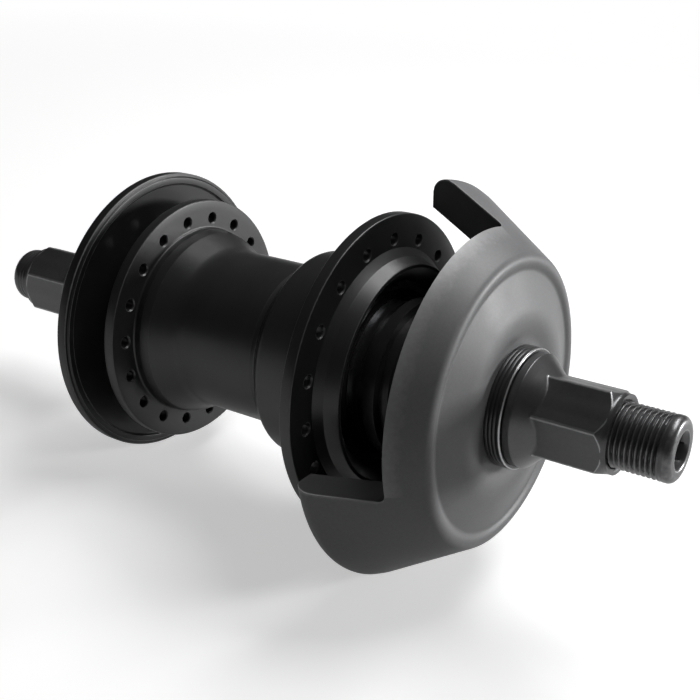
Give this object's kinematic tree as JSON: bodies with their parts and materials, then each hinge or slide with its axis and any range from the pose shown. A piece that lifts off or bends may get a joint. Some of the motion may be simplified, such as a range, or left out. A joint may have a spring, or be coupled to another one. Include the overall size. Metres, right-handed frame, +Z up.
{
  "type": "freecoaster hub",
  "caption": "Rear bicycle freecoaster hub: flanged shell on a solid axle, a toothed driver that screws a cone clutch into the shell, and a guard outside each flange.",
  "frame": {"origin": "on the axle's centre line, midway between the two faces that the frame ends bear on (110 mm apart)", "axes": "+Y along the axle towards the non-drive side, the drive side is -Y; +Z up as in the picture; +X completes the right-handed set"},
  "size_m": [0.0888, 0.1885, 0.0888],
  "materials": {
    "shell_alloy": "black anodised aluminium, satin",
    "guard_nylon": "black moulded nylon, fine satin grain",
    "black_steel": "black oxide steel, turned and milled",
    "bright_steel": "ground bearing and spring steel",
    "seal_rubber": "moulded rubber seal",
    "spacer_alloy": "turned aluminium",
    "drag_resin": "low-friction moulded resin"
  },
  "bodies": {
    "axle_assembly": {"axle": "black_steel", "drive_side_axle_nut": "black_steel", "non_drive_axle_nut": "black_steel", "guard_lock_ring": "black_steel", "drive_side_guard": "guard_nylon", "drive_side_cone": "black_steel", "outer_driver_bearing_inner_race": "bright_steel", "inner_driver_bearing_inner_race": "bright_steel", "bearing_spacer": "spacer_alloy", "axle_sleeve": "spacer_alloy", "non_drive_bearing_inner_race": "bright_steel", "non_drive_cone": "black_steel", "non_drive_guard": "guard_nylon", "non_drive_lock_nut": "black_steel"},
    "shell": {"hub_shell": "shell_alloy", "clutch_ring": "bright_steel", "drive_side_bearing_outer_race": "bright_steel", "drive_side_bearing_seal": "seal_rubber", "non_drive_bearing_outer_race": "bright_steel", "non_drive_bearing_seal": "seal_rubber"},
    "drag": {"drag_ring": "drag_resin", "drag_spring": "bright_steel"},
    "driver": {"driver": "black_steel", "drive_side_bearing_inner_race": "bright_steel", "outer_driver_bearing_outer_race": "bright_steel", "inner_driver_bearing_outer_race": "bright_steel", "driver_circlip": "bright_steel"},
    "clutch": {"clutch_cone": "bright_steel"}
  },
  "joints": [
    {"name": "shell_spin", "type": "hinge", "parent": "axle_assembly", "child": "shell", "pos_m": [0, 0, 0], "axis": [0, 1, 0], "continuous": true},
    {"name": "clutch_spin", "type": "hinge", "parent": "axle_assembly", "child": "drag", "pos_m": [0, 0, 0], "axis": [0, 1, 0], "continuous": true},
    {"name": "driver_slack", "type": "hinge", "parent": "drag", "child": "driver", "pos_m": [0, 0, 0], "axis": [0, 1, 0], "range_deg": [0, 37.5]},
    {"name": "clutch_slide", "type": "slide", "parent": "drag", "child": "clutch", "axis": [0, 1, 0], "range_m": [0, 0.0025]}
  ],
  "couplings": [
    {"joint": "clutch_slide", "follows": "driver_slack", "m_per_rad": 0.0038197}
  ]
}
